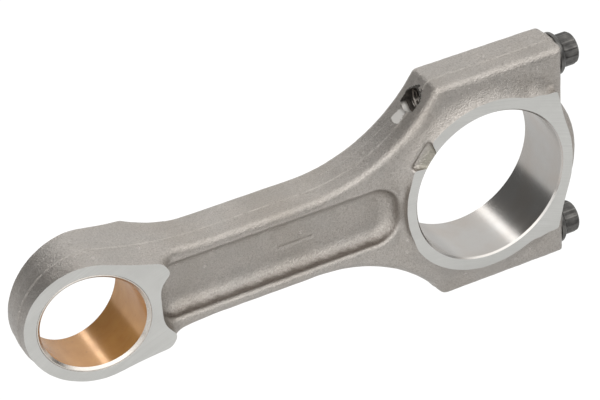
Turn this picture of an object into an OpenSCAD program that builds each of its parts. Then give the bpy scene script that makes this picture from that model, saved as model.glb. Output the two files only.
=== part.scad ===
// Connecting rod with a fracture-split big end. The forged body carries an
// I-section shank and a small end with tapered faces and a pressed-in bronze
// bush. The cap closes the big-end bore and is held by two flange-head bolts
// that pass through the cap and thread into the body.
//
// Frame: X runs along the rod, from the small end (-X) to the cap (+X). Y runs
// along both bores, with the front face at -Y. Z runs from the lower bolt to
// the upper bolt. The origin is the centre of the big-end bore. The split plane
// is X = 0 and the forging's parting plane is Y = 0.

/* [Rod] */
// Distance between the two bore axes, mm
centre_distance = 138; // [132:0.5:146]
// Half height of the shank at the forging's parting plane, mm
shank_half_height = 15.1; // [14.5:0.1:16]
// Half thickness of the shank flanges and of the forging around the big end, mm
forging_half_thickness = 8.5; // [8:0.1:9]
// Radius of the concave flare from the shank to the big-end shoulders, mm
flare_radius = 55; // [50:1:60]
// Distance from the big-end axis back to the point where the flare starts, mm
flare_start = 63; // [60:0.5:66]
// Draft angle of the forged sides, degrees
draft_angle = 4; // [2:0.5:6]
// Radius of the forging's outer edges, mm
edge_radius = 2.5; // [1.5:0.1:3]
// Half width of the trimmed flash land along the parting plane, mm
land_half_width = 2.4; // [1.5:0.1:3]
// How far the trimmed flash land stands out of the drafted side, mm
land_step = 0.3; // [0.1:0.05:0.5]

/* [Shank pocket] */
// Half thickness of the web between the two pockets, mm
web_half_thickness = 3.2; // [2.5:0.1:4]
// Half height of the pocket at the flange faces, mm
pocket_half_height = 10.6; // [9.5:0.1:11]
// Distance from the big-end axis to the near end of the pocket, mm
pocket_near_end = 31.6; // [31:0.1:36]
// Distance from the small-end axis to the far end of the pocket, mm
pocket_far_gap = 25; // [24:0.5:28]
// Radius of the pocket's fillet to the web, mm
pocket_fillet = 5; // [3:0.5:6]

/* [Small end] */
// Outer radius of the small end at the parting plane, mm
small_outer_r = 22; // [21:0.1:23]
// Radius of the concave blend from the small end to the shank, mm
small_blend_r = 120; // [80:5:150]
// Half thickness of the small end at its bore axis, mm
small_half_thickness = 9.9; // [9.5:0.1:10.5]
// Taper of each small-end face, degrees
small_face_taper = 9.6; // [7:0.1:12]
// Bore radius of the bush, for the piston pin, mm
bush_bore_r = 16.4; // [16:0.05:16.6]
// Outer radius of the bush, mm
bush_outer_r = 17.6; // [17.4:0.05:18.2]
// Chamfer round each mouth of the bush bore, mm
bush_chamfer = 0.8; // [0.3:0.05:0.9]

/* [Big end] */
// Radius of the big-end bore, mm
big_bore_r = 26.82; // [26.5:0.01:27]
// Chamfer of the big-end bore, mm
big_bore_chamfer = 0.55; // [0.3:0.05:0.8]
// Half width over the big-end thrust faces, mm
thrust_half_width = 11.6; // [11:0.1:12]
// Outer radius of the thrust ring, mm
thrust_r = 30.6; // [30:0.1:31]
// Half height of the big end over the bolt bosses, mm
boss_half_height = 40.4; // [39.8:0.1:42]
// Angle of the oil notch in the front thrust ring, from the cap side, degrees
notch_angle = 141; // [125:1:155]
// Width of the oil notch where it leaves the bore, mm
notch_width = 5.8; // [4:0.2:7]
// Depth of the oil notch where it leaves the bore, mm
notch_depth = 0.4; // [0.2:0.1:0.8]
// Slope of the oil notch's floor towards the outside of the ring, degrees
notch_slope = 29; // [20:1:34]

/* [Cap] */
// Distance from the bore axis to the bolt seats on the cap, mm
seat_x = 29.8; // [29.5:0.1:30.5]
// Radius of the cap's crown, mm
crown_r = 35.4; // [35:0.1:36.5]
// Half height of the cap's machined thrust face at its bolt-side corners, mm
cap_face_half_height = 26.7; // [26:0.1:28]
// Lean of the machined thrust face's two straight edges, degrees
cap_face_lean = 13.5; // [10:0.5:16]
// Radius of the machined thrust face's corners, mm
cap_face_corner_r = 1.2; // [0.6:0.1:2]

/* [Bolts] */
// Distance of each bolt axis from the rod's centre line, mm
bolt_offset = 33; // [32.6:0.1:33.4]
// Major radius of the bolt thread, mm
bolt_r = 4.5; // [4:0.25:4.5]
// Pitch of the bolt thread, mm
bolt_pitch = 1; // [1:0.25:1.25]
// Length of the bolt under its head, mm
bolt_length = 44; // [40:1:46]
// Length of the threaded part of the bolt, mm
thread_length = 20; // [14:1:24]
// Radius of the bolt's flange, mm
flange_r = 7.2; // [6.8:0.1:7.4]
// Thickness of the bolt's flange at its rim, mm
flange_t = 1.2; // [0.8:0.1:1.6]
// Radius over the points of the twelve-point drive, mm
drive_r = 5.6; // [5.2:0.1:5.8]
// Height of the whole head above its seat, mm
head_h = 8.1; // [7.5:0.1:9]
// Radial clearance of the bolt in the body's thread, mm
thread_clearance = 0.05; // [0.02:0.01:0.1]
// Depth of the tapped length below the split plane, mm
tapped_depth = 18.5; // [17:0.5:20]
// Radius of the tapping drill, which breaks out on the shoulders, mm
drill_r = 4; // [3.7:0.05:4.2]
// Depth of the tapping drill below the split plane, to its full radius, mm
drill_depth = 20.5; // [20:0.5:27]
// Radius of the clearance hole in the cap, mm
cap_hole_r = 4.7; // [4.6:0.05:4.9]

/* [Hidden] */
forged = "#a39b92";
bronze = "#b08a56";
black_steel = "#4a4a4a";

far = 300;         // size of the cube that keeps one half of the thrust disc
past_split = 10;   // how far bolt holes are cut beyond the split plane
past_cap = 60;     // X at which cuts have cleared the cap
arc_steps = 14;
small_x = -centre_distance;

// Small end
face_slope = tan(small_face_taper);
ear_x = small_x + 24.4;           // thickest point, where the taper meets the shank side
small_rough_half = face_y(ear_x) + 0.6; // half thickness before the tapered faces trim it
small_top_inset = 1.1;            // how far its side has drawn in at that height
end_wall_half_height = 9.6;       // of the wall between pocket and small end
wedge_half_height = 30;           // reach of the taper cuts in Z

// Half thickness between the small end's tapered faces at a given X
function face_y(x) = small_half_thickness + face_slope * (x - small_x);

// ---- Outlines: lists of [x, z] points ----

// Points along an arc about [x, z]
function arc(x, z, radius, from, to, steps) =
    [for (i = [0 : steps]) let (angle = from + (to - from) * i / steps)
        [x + radius * cos(angle), z + radius * sin(angle)]];
function reversed(list) = [for (i = [len(list) - 1 : -1 : 0]) list[i]];
// An upper half outline and its mirror image below the centre line
function mirrored(points) =
    concat(points, [for (p = reversed(points)) if (abs(p[1]) > 1e-6) [p[0], -p[1]]]);
// An outline lifted to the height y
function at_level(points, y) = [for (p = points) [p[0], y, p[1]]];

// The forged side above the parting plane: flash land, draft and rounded edge,
// as [height, inset]
land_ramp = 0.25; // height over which the land steps down to the drafted side
drafted_inset = land_step
    + tan(draft_angle) * (forging_half_thickness - edge_radius - land_half_width);
side_levels = concat(
    [[land_half_width, 0], [land_half_width + land_ramp, land_step]],
    [for (angle = [0 : 30 : 90])
        [forging_half_thickness - edge_radius * (1 - sin(angle)),
         drafted_inset + edge_radius * (1 - cos(angle))]]);
all_levels = concat([for (level = reversed(side_levels)) [-level[0], level[1]]], side_levels);

// Upper outline of the rod body, from the split plane to the crown of the small end
flare_z = shank_half_height + flare_radius;
blend_z = shank_half_height + small_blend_r;
blend_x = small_x + sqrt(pow(small_outer_r + small_blend_r, 2) - pow(blend_z, 2));
blend_angle = atan2(blend_z, blend_x - small_x); // where the blend meets the small end
crown_skip = 4; // degrees left between the blend and the first crown point
function body_outline(inset) =
    let (flare_r = flare_radius + inset,
         shoulder_angle = -asin((flare_z - boss_half_height + inset) / flare_r))
    concat([[0, boss_half_height - inset]],
           arc(-flare_start, flare_z, flare_r, shoulder_angle, -90, arc_steps),
           arc(blend_x, blend_z, small_blend_r + inset, -90, blend_angle - 180, 8),
           arc(small_x, 0, small_outer_r - inset, blend_angle + crown_skip, 180, arc_steps));

// Upper outline of the cap, from the split plane to its crown
seat_stock = 0.3;   // stock that the spot faces cut back to the bolt seats
cap_chamfer = 1.4;  // on the outer corner of each bolt boss
cap_end_lean = 0.1; // how far that corner lies short of the boss end in X
function cap_outline(inset) =
    let (radius = crown_r - inset,
         top = boss_half_height - inset,
         x = seat_x + seat_stock - inset)
    concat([[0, top],
            [x - cap_end_lean - cap_chamfer, top],
            [x - cap_end_lean, top - cap_chamfer]],
           arc(0, 0, radius, acos(x / radius), 0, arc_steps));

// Upper outline of a shank pocket
pocket_near_r = 9;  // corner radius at the big end
pocket_far_r = 5.4; // corner radius at the small end
function pocket_outline(inset) =
    let (near_x = -pocket_near_end - inset,
         far_x = small_x + pocket_far_gap + inset,
         top = pocket_half_height - inset,
         near_r = max(pocket_near_r - inset, 0.8),
         far_r = max(pocket_far_r - inset, 0.3))
    concat(arc(near_x - near_r, top - near_r, near_r, 0, 90, 8),
           arc(far_x + far_r, top - far_r, far_r, 90, 180, 6));
// The pocket's wall from the web up: the fillet, then the drafted wall carried
// on past the flange face, as [height, inset]
fillet_rise = 0.85 * pocket_fillet;
fillet_run = 0.9 * pocket_fillet;
fillet_top_inset = 0.9;
pocket_levels = concat(
    [for (angle = [0 : 18 : 90])
        [web_half_thickness + fillet_rise * (1 - cos(angle)),
         fillet_top_inset + fillet_run * (1 - sin(angle))]],
    [[forging_half_thickness - 0.45, 0.05], [forging_half_thickness + 8, -0.9]]);

// ---- Building blocks ----

// Twice the signed area of a ring, in its X and Z coordinates
function ring_area(ring) =
    let (count = len(ring),
         terms = [for (i = [0 : count - 1]) let (p = ring[i], q = ring[(i + 1) % count])
                     p[0] * q[2] - q[0] * p[2]])
    terms * [for (term = terms) 1];

// The end of a loft: strips from each point to its mirror image below the
// centre line, or a single face where the outline is convex
function end_faces(count, symmetric) = symmetric
    ? [for (i = [0 : ceil(count / 2) - 2])
          i + 1 == count - 2 - i ? [i, i + 1, count - 1 - i]
                                 : [i, i + 1, count - 2 - i, count - 1 - i]]
    : [[for (i = [0 : count - 1]) i]];

// A closed solid through a stack of equal outlines, at Y levels in rising order
module loft(outlines, symmetric = true) {
    // all rings must run the same way round for the faces to point outwards
    rings = ring_area(outlines[0]) < 0 ? outlines : [for (ring = outlines) reversed(ring)];
    count = len(rings[0]);
    last = len(rings) - 1;
    ends = end_faces(count, symmetric);
    polyhedron(
        points = [for (ring = rings) each ring],
        faces = concat(
            ends,
            [for (k = [0 : last - 1], i = [0 : count - 1])
                let (j = (i + 1) % count, low = k * count, high = low + count) each
                [[low + i, high + i, low + j], [low + j, high + i, high + j]]],
            [for (face = ends) [for (i = reversed(face)) last * count + i]]));
}

// A prism along Y with an [x, z] outline
module prism_y(points, half) {
    rotate([90, 0, 0]) linear_extrude(height = 2 * half, center = true) polygon(points);
}
// A prism along Z with an [x, y] outline
module prism_z(points, half) {
    translate([0, 0, -half]) linear_extrude(height = 2 * half) polygon(points);
}
// A round bar along Y
module bar_y(radius, half) {
    rotate([90, 0, 0]) cylinder(r = radius, h = 2 * half, center = true, $fn = 96);
}

// Children built on +Y and mirrored to -Y
module both_faces() {
    for (flip = [1, 0]) mirror([0, flip, 0]) children();
}
// Children at the heights -y and y, with their Z axis pointing outwards
module outwards(y) {
    for (side = [-1, 1]) translate([0, side * y, 0]) rotate([side * -90, 0, 0]) children();
}
// Children on both bolt axes at x, with their Z axis along +X or -X
module at_bolts(x, direction = 1) {
    for (side = [-1, 1])
        translate([x, 0, side * bolt_offset]) rotate([0, direction * 90, 0]) children();
}
module bolt_holes(radius, from, to) {
    at_bolts(from) cylinder(r = radius, h = to - from, $fn = 64);
}

// ---- Big end, shared by body and cap ----

// The big-end bore with both mouths chamfered
module big_bore() {
    chamfer = big_bore_chamfer;
    bar_y(big_bore_r, thrust_half_width + 1);
    outwards(thrust_half_width) translate([0, 0, -chamfer])
        cylinder(r1 = big_bore_r, r2 = big_bore_r + 2 * chamfer, h = 2 * chamfer, $fn = 96);
}
// Half of the thrust disc: the part within a large cube that starts at from_x
module half_thrust_disc(from_x) {
    intersection() {
        bar_y(thrust_r, thrust_half_width);
        translate([from_x, -far / 2, -far / 2]) cube([far, far, far]);
    }
}

// ---- Rod body ----

// The wedge between the two tapered faces of the small end
module taper_wedge() {
    x1 = small_x - 40;
    x2 = small_x + 34;
    prism_z([[x1, -face_y(x1)], [x2, -face_y(x2)], [x2, face_y(x2)], [x1, face_y(x1)]],
            wedge_half_height);
}
// Everything outside the tapered faces, over the small end only
module taper_outside() {
    x1 = small_x - 30;
    x2 = small_x + 20;
    both_faces()
        prism_z([[x1, face_y(x1)], [x2, face_y(x2)], [x2, 40], [x1, 40]], wedge_half_height);
}

module body_forging() {
    difference() {
        loft([for (level = all_levels) at_level(mirrored(body_outline(level[1])), level[0])]);
        both_faces()
            loft([for (level = pocket_levels)
                at_level(mirrored(pocket_outline(level[1])), level[0])]);
        taper_outside();
    }
}

// One ear of the small end, where it rises out of a shank flange: [x, z]
// outlines at its foot and at its top
ear_foot = [
    [ear_x + 3.6, 13.4], [ear_x + 3.6, 11.2], [ear_x - 1, 7], [small_x + 8, 6],
    [small_x + 6.5, 21], [small_x + 14, 19.2], [ear_x - 0.5, 15.2]];
ear_top = [
    [ear_x, 13.2], [ear_x, 11], [ear_x - 3.2, 7], [small_x + 8, 6],
    [small_x + 6.5, 20], [small_x + 14, 18], [ear_x - 1.6, 14.6]];
module ear() {
    loft([at_level(ear_foot, forging_half_thickness - 3), at_level(ear_top, small_rough_half)],
         symmetric = false);
}

// The sloped wall that closes a pocket at the small end, as an [x, y] outline
end_wall = [
    [small_x, 0], [small_x, small_rough_half], [ear_x - 3.4, small_rough_half],
    [ear_x - 0.6, 9.5], [ear_x + 1.6, 6.2], [ear_x + 4, 4],
    [ear_x + 6.2, web_half_thickness], [ear_x + 6.2, 0]];

module small_end_solid() {
    side_r = small_outer_r - land_step;
    intersection() {
        union() {
            translate([small_x, 0, 0]) {
                bar_y(side_r, land_half_width + 0.2);
                outwards(land_half_width)
                    cylinder(r1 = side_r, r2 = small_outer_r - small_top_inset,
                             h = small_rough_half - land_half_width, $fn = 96);
            }
            both_faces() for (flip = [1, 0]) mirror([0, 0, flip]) ear();
            both_faces() prism_z(end_wall, end_wall_half_height);
        }
        taper_wedge();
    }
}

// A shallow notch that fans out across the front ring and runs out on the forging
notch_spread = 0.6; // gain in half width per mm of radius
module oil_notch() {
    bore_face_y = thrust_half_width - notch_depth; // floor height at the bore
    start = big_bore_r - 3;
    runout = big_bore_r + (bore_face_y - forging_half_thickness) / tan(notch_slope);
    end = thrust_r + 5;
    start_y = bore_face_y - tan(notch_slope) * (start - big_bore_r);
    rotate([0, -notch_angle, 0]) intersection() {
        prism_z([[start, -30], [end, -30], [end, -forging_half_thickness],
                 [runout, -forging_half_thickness], [start, -start_y]], 20);
        prism_y([for (p = [[start, 1], [end, 1], [end, -1], [start, -1]])
            [p[0], p[1] * (notch_width / 2 + notch_spread * (p[0] - big_bore_r))]], 40);
    }
}

// Drilled and tapped holes with a conical bottom and an entry chamfer
module tapped_holes() {
    tapped_r = bolt_r + thread_clearance;
    entry = 1.2; // length and widening of the entry cone
    bolt_holes(drill_r, -drill_depth, past_split);
    at_bolts(-drill_depth, -1) cylinder(r1 = drill_r, r2 = 0, h = 0.6 * drill_r, $fn = 64);
    bolt_holes(tapped_r, -tapped_depth, past_split);
    at_bolts(-0.8) cylinder(r1 = tapped_r, r2 = tapped_r + entry, h = entry, $fn = 64);
}

module rod_body() {
    color(forged) difference() {
        union() {
            body_forging();
            small_end_solid();
            half_thrust_disc(-far);
        }
        big_bore();
        translate([small_x, 0, 0]) bar_y(bush_outer_r, 30);
        tapped_holes();
        oil_notch();
    }
}

// ---- Bush ----

// Cones that chamfer the mouths of the bush bore, square to the tapered faces
module mouth_chamfers() {
    mouth_r = bush_bore_r + bush_chamfer;
    reach = 2; // of each cone to either side of the face
    for (side = [-1, 1])
        translate([0, side * small_half_thickness, 0])
            rotate([0, 0, side * small_face_taper]) rotate([-side * 90, 0, 0])
                translate([0, 0, -reach])
                    cylinder(r1 = mouth_r - reach, r2 = mouth_r + reach, h = 2 * reach, $fn = 128);
}

module small_end_bush() {
    color(bronze) translate([small_x, 0, 0]) difference() {
        intersection() {
            bar_y(bush_outer_r, 30);
            translate([-small_x, 0, 0]) taper_wedge();
        }
        bar_y(bush_bore_r, 31);
        mouth_chamfers();
    }
}

// ---- Cap ----

// Machined thrust face: the half disc, and two straight edges that leave its
// rim and lean out to rounded corners beside the bolts
cap_face_split_half = 20; // half height at the split plane
cap_face_flank_x = 12.6;  // where the face reaches its full height
module cap_face() {
    rim_r = thrust_r + 0.25;
    corner_r = cap_face_corner_r;
    corner_z = cap_face_half_height - corner_r;
    corner_x = (rim_r - corner_r - corner_z * sin(cap_face_lean)) / cos(cap_face_lean);
    half_thrust_disc(0);
    prism_y(mirrored(concat(
        [[0, cap_face_split_half], [cap_face_flank_x, cap_face_half_height]],
        arc(corner_x, corner_z, corner_r, 90, cap_face_lean, 5),
        arc(0, 0, rim_r, cap_face_lean, 0, 5))), thrust_half_width);
}

module rod_cap() {
    color(forged) difference() {
        union() {
            loft([for (level = all_levels) at_level(mirrored(cap_outline(level[1])), level[0])]);
            cap_face();
        }
        big_bore();
        bolt_holes(cap_hole_r, -past_split, past_cap);
        // spot faces under the bolt flanges
        bolt_holes(flange_r + 0.6, seat_x, past_cap);
    }
}

// ---- Bolts: along Z, with the seat at Z = 0 and the head above it ----

// Shank of a bolt: thread crests and roots are rings of the real pitch
module bolt_shank() {
    root_r = bolt_r - 0.61 * bolt_pitch;
    waist_step = 0.6; // how far the waist above the thread is below the major radius
    waist_r = bolt_r - waist_step;
    collar_length = 13;
    tip = -bolt_length;
    teeth = floor((thread_length - 1.5) / bolt_pitch);
    thread_top = tip + 1.4 + teeth * bolt_pitch;
    // one tooth, as [radius, share of the pitch]
    tooth = [[root_r, 0], [bolt_r, 0.42], [bolt_r, 0.54], [root_r, 0.96]];
    rotate_extrude($fn = 64) polygon(concat(
        [[0, tip], [bolt_r - 1.4, tip], [root_r, tip + 1]],
        [for (i = [0 : teeth - 1], p = tooth) [p[0], tip + 1.2 + (i + p[1]) * bolt_pitch]],
        [[root_r, thread_top], [waist_r, thread_top + waist_step],
         [waist_r, -collar_length - 1], [bolt_r, -collar_length], [bolt_r, 0], [0, 0]]));
}
// Head of a bolt: a flange, a cone and a chamfered twelve-point drive with a round recess
module bolt_head() {
    top_r = drive_r - 0.9;
    recess_depth = 0.8;
    difference() {
        union() {
            cylinder(r = flange_r, h = flange_t, $fn = 64);
            translate([0, 0, flange_t])
                cylinder(r1 = flange_r, r2 = drive_r - 0.1, h = 1.1, $fn = 64);
            intersection() {
                union() for (turn = [0, 30])
                    rotate([0, 0, turn]) cylinder(r = drive_r, h = head_h, $fn = 6);
                cylinder(r1 = top_r + head_h, r2 = top_r, h = head_h, $fn = 64);
            }
        }
        translate([0, 0, head_h - recess_depth]) cylinder(r = 3, h = 2, $fn = 48);
    }
}
module cap_bolt(side) {
    color(black_steel) translate([seat_x, 0, side * bolt_offset]) rotate([0, 90, 0]) union() {
        bolt_shank();
        bolt_head();
    }
}
module cap_bolt_upper() { cap_bolt(1); }
module cap_bolt_lower() { cap_bolt(-1); }

rod_body();
small_end_bush();
rod_cap();
cap_bolt_upper();
cap_bolt_lower();
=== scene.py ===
"""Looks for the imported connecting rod: smooth forged skins, machined faces, bronze bush and threaded bolts."""
import math
import bpy
import numpy as np
from mathutils import Matrix, Vector


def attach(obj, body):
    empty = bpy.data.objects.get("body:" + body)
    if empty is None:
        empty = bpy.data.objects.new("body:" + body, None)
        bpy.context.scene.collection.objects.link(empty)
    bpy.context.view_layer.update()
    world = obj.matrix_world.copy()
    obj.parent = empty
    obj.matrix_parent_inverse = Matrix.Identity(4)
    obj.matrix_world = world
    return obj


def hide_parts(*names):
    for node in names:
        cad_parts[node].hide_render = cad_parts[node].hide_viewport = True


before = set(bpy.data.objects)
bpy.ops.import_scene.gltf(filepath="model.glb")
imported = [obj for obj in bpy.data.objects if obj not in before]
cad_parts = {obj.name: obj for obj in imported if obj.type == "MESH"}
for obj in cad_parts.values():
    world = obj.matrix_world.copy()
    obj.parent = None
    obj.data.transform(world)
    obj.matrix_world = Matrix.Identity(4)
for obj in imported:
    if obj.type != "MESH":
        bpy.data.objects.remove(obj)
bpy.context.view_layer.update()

MM = 0.001
sc = bpy.context.scene

# ----------------------------------------------------------------- dimensions, mm
L = 138.0            # centre distance
SHANK = 15.1         # half height of the shank at the parting plane
FLARE_R, FLARE_X = 55.0, -63.0
T = 8.5              # half thickness of the forging
W = 40.4             # half height over the bolt bosses
SMALL_R, SMALL_BLEND = 22.0, 120.0
HALF0, TAPER = 9.9, math.tan(math.radians(9.6))
BORE_R, THRUST, RING_R = 26.82, 11.6, 30.6
SEAT_R, PIN_R = 17.6, 16.4
BOLT_Z, SEAT_X, PAD_X, CROWN = 33.0, 29.8, 30.3, 35.4
BOLT_R, DRILL_R, CAP_HOLE = 4.5, 4.0, 4.7
LAND = 2.3
WEB = 3.2
NOTCH = math.radians(141)


def arc(cx, cz, r, a0, a1, n):
    a = np.radians(np.linspace(a0, a1, n))
    return np.stack([cx + r * np.cos(a), cz + r * np.sin(a)], 1)


def chaikin(p, n):
    for _ in range(n):
        q = np.empty((2 * len(p), 2))
        q[0], q[-1] = p[0], p[-1]
        q[1:-1:2] = 0.75 * p[:-1] + 0.25 * p[1:]
        q[2::2] = 0.25 * p[:-1] + 0.75 * p[1:]
        p = q
    return p


def upper_outline():
    """The forging's outline at the parting plane above the centre line, from the cap's crown to the small end."""
    cz = SHANK + FLARE_R
    f = 3.0  # shoulder fillet
    zc = W - f
    xc = FLARE_X + math.sqrt((FLARE_R + f) ** 2 - (cz - zc) ** 2)
    to = math.degrees(math.atan2(cz - zc, FLARE_X - xc))
    fl = math.degrees(math.atan2(zc - cz, xc - FLARE_X))
    bz = SHANK + SMALL_BLEND
    bx = -L + math.sqrt((SMALL_R + SMALL_BLEND) ** 2 - bz ** 2)
    t = math.degrees(math.atan2(bz, bx + L))
    a = math.degrees(math.acos((PAD_X - 0.2) / CROWN))
    return np.concatenate([
        arc(0, 0, CROWN, 0, a, 24), arc(PAD_X - 2.0, W - 2.0, 2.0, 0, 90, 8),
        arc(xc, zc, f, 90, to, 10), arc(FLARE_X, cz, FLARE_R, fl, -90, 40),
        arc(bx, bz, SMALL_BLEND, -90, t - 180, 24), arc(-L, 0, SMALL_R, t, 180, 44)])


def ear_outline():
    """Where the thick small end stops towards the shank: a hollow curve between two ears, carried on past the flanks."""
    ears = np.array([(-117.2, 0), (-117.15, 4.6), (-116.6, 7.3), (-115.0, 9.6), (-113.6, 11.2), (-113.4, 13.4), (-113.9, 16.5), (-115.5, 22), (-119, 36)])
    return np.concatenate([chaikin(ears, 3), [(-168.0, 36.0)]])


def flare_outline():
    """The cap's machined face beyond the thrust ring: two tangents to the ring that run out to square corners."""
    k, lean = 26.7, math.radians(13.5)
    zc = k - 1.6
    corner = ((RING_R + 0.25 - zc * math.sin(lean)) / math.cos(lean), zc)
    start = ((RING_R + 0.25) * math.cos(lean), (RING_R + 0.25) * math.sin(lean))
    round_ = chaikin(np.array([corner, (corner[0] - 0.35, k), (22.0, k), (16.0, k + 0.1)]), 3)
    return np.concatenate([[(start[0] + 0.4, 0.0), start], round_, [(13.0, k + 0.6), (0.0, 21.0)]])


class Field:
    """Signed distance to a half outline mirrored about z = 0, negative inside, sampled on a fine grid."""
    def __init__(self, pts, x0, x1, z1, step=0.25):
        self.x0, self.step = x0, step
        xs, zs = np.arange(x0, x1 + step, step), np.arange(0, z1 + step, step)
        self.nx, self.nz = len(xs), len(zs)
        X, Z = [g.ravel() for g in np.meshgrid(xs, zs, indexing="ij")]
        closed = np.concatenate([pts, [(pts[-1][0], -6.0), (pts[0][0], -6.0)]])
        best = np.full(len(X), 1e9)
        inside = np.zeros(len(X), bool)
        for i in range(len(closed)):
            (ax, az), (bx, bz) = closed[i], closed[(i + 1) % len(closed)]
            if i < len(pts) - 1:
                ex, ez = bx - ax, bz - az
                n = ex * ex + ez * ez
                t = np.clip(((X - ax) * ex + (Z - az) * ez) / max(n, 1e-12), 0, 1)
                best = np.minimum(best, (X - ax - t * ex) ** 2 + (Z - az - t * ez) ** 2)
            if (az > 0) != (bz > 0) or az != bz:
                cross = ((az > Z) != (bz > Z)) & (X < (bx - ax) * (Z - az) / ((bz - az) or 1e-12) + ax)
                inside ^= cross
        d = np.sqrt(best)
        self.d = np.where(inside, -d, d).reshape(self.nx, self.nz)

    def at(self, x, z):
        u = np.clip((x - self.x0) / self.step, 0, self.nx - 1.001)
        v = np.clip(np.abs(z) / self.step, 0, self.nz - 1.001)
        i, j = u.astype(int), v.astype(int)
        u, v = u - i, v - j
        d = self.d
        return (d[i, j] * (1 - u) + d[i + 1, j] * u) * (1 - v) + (d[i, j + 1] * (1 - u) + d[i + 1, j + 1] * u) * v


OUT = Field(upper_outline(), -168, 46, 50)
EAR = Field(ear_outline(), -168, -90, 40)
FLR = Field(flare_outline(), -8, 46, 50)


def cut_round(a, b, r):
    """Both a and b, with an edge of radius r."""
    return np.minimum(np.maximum(a, b), -r) + np.hypot(np.maximum(a + r, 0), np.maximum(b + r, 0))


def join_round(a, b, r):
    """Either a or b, with a fillet of radius r."""
    return np.maximum(np.minimum(a, b), r) - np.hypot(np.maximum(r - a, 0), np.maximum(r - b, 0))


def ramp(v, a, b):
    t = np.clip((v - a) / (b - a), 0, 1)
    return t * t * (3 - 2 * t)


def wobble(x, y, z):
    """Slow unevenness of a forged skin, about 0.05 mm."""
    return 0.030 * (np.sin(x * 0.71 + 1.3 * np.sin(z * 0.37)) * np.sin(z * 0.83 + y * 0.9 + 0.7)
                    + 0.7 * np.sin(x * 1.9 + z * 1.1 + 2.0) * np.sin(y * 1.7 + z * 1.3)
                    + 0.9 * np.sin(x * 0.31 - z * 0.27) * np.sin(y * 0.6 + x * 0.23))


def forging(x, y, z, flat=None):
    """The raw forging, body and cap in one, as a distance in mm (negative inside)."""
    if flat is None:
        flat = (OUT.at(x, z), EAR.at(x, z), FLR.at(x, z))
    d_out, d_ear, d_flare = flat
    a = np.abs(y)
    az = np.abs(z)
    # drafted sides, with the trimmed flash land standing a little proud
    step = np.where(y < 0, 0.24, 0.18)
    side = d_out + step * ramp(a, LAND - 0.12, LAND + 0.12) + 0.07 * np.maximum(a - LAND, 0)
    top = T + 0.25 * ramp(-x, 50, 70)
    # pockets between the flanges; they run on under the small end's ears
    cx, hx = -78.3, 46.8
    r = np.where(x > cx, 9.0, 1.0)
    qx, qz = np.abs(x - cx) - hx + r, az - 10.6 + r
    rect = np.minimum(np.maximum(qx, qz), 0) + np.hypot(np.maximum(qx, 0), np.maximum(qz, 0)) - r
    web = WEB + 0.35 * (az / 8.0) ** 2
    pocket = cut_round(rect + 0.10 * (top - a), web - a, 5.0)
    front = cut_round(a - top, -pocket, 1.1)
    # small end
    outer = ramp(az, 11.5, 14.5) * np.where(y > 0, 1.0, 0.35)
    lean_ = 0.09 + 0.75 * outer
    boss = np.maximum((d_ear + 1.9 * outer - lean_ * (14.0 - a)) / np.hypot(1.0, lean_), a - 17.2)
    front = join_round(front, boss, 2.7 + 3.2 * ramp(-az, -10.5, -5.5) + 4.0 * outer)
    # thrust ring and the cap's face: steep towards the shank, a wide ramp above and below
    w = ramp(az, 6, 17) * (1 - ramp(x, 18, 25))
    rad = np.hypot(x, z)
    face = join_round(rad - RING_R, d_flare, 1.5)
    lean = np.radians(85 - 22 * w)
    ring = np.maximum(face * np.sin(lean) + (a - THRUST) * np.cos(lean), a - 13.0)
    front = join_round(front, ring, 1.8 + 3.9 * w)
    body = cut_round(side, front, 2.6)
    # low spot across the front ring, deepest at its outer edge
    u = x * math.cos(NOTCH) + z * math.sin(NOTCH) - BORE_R
    v = -x * math.sin(NOTCH) + z * math.cos(NOTCH)
    floor_ = np.maximum(11.2 - 0.55 * u, 9.1 + 0.9 * (u - 3.8))
    notch = cut_round(0.857 * (np.abs(v) - 2.8 - 0.6 * np.clip(u, -2, 3.6)), 0.876 * (y + floor_), 1.1)
    notch = np.maximum(notch, np.abs(u - 2.5) - 5.5)
    body = cut_round(body, -notch, 0.8)
    # a short shallow die line on the front web
    line = np.hypot(np.maximum(np.abs(x + 66.4) - 5.8, 0), z + 1.6) - 0.45
    body = cut_round(body, -np.maximum(line, y + WEB - 0.3), 0.2)
    return body + wobble(x, y, z)


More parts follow.
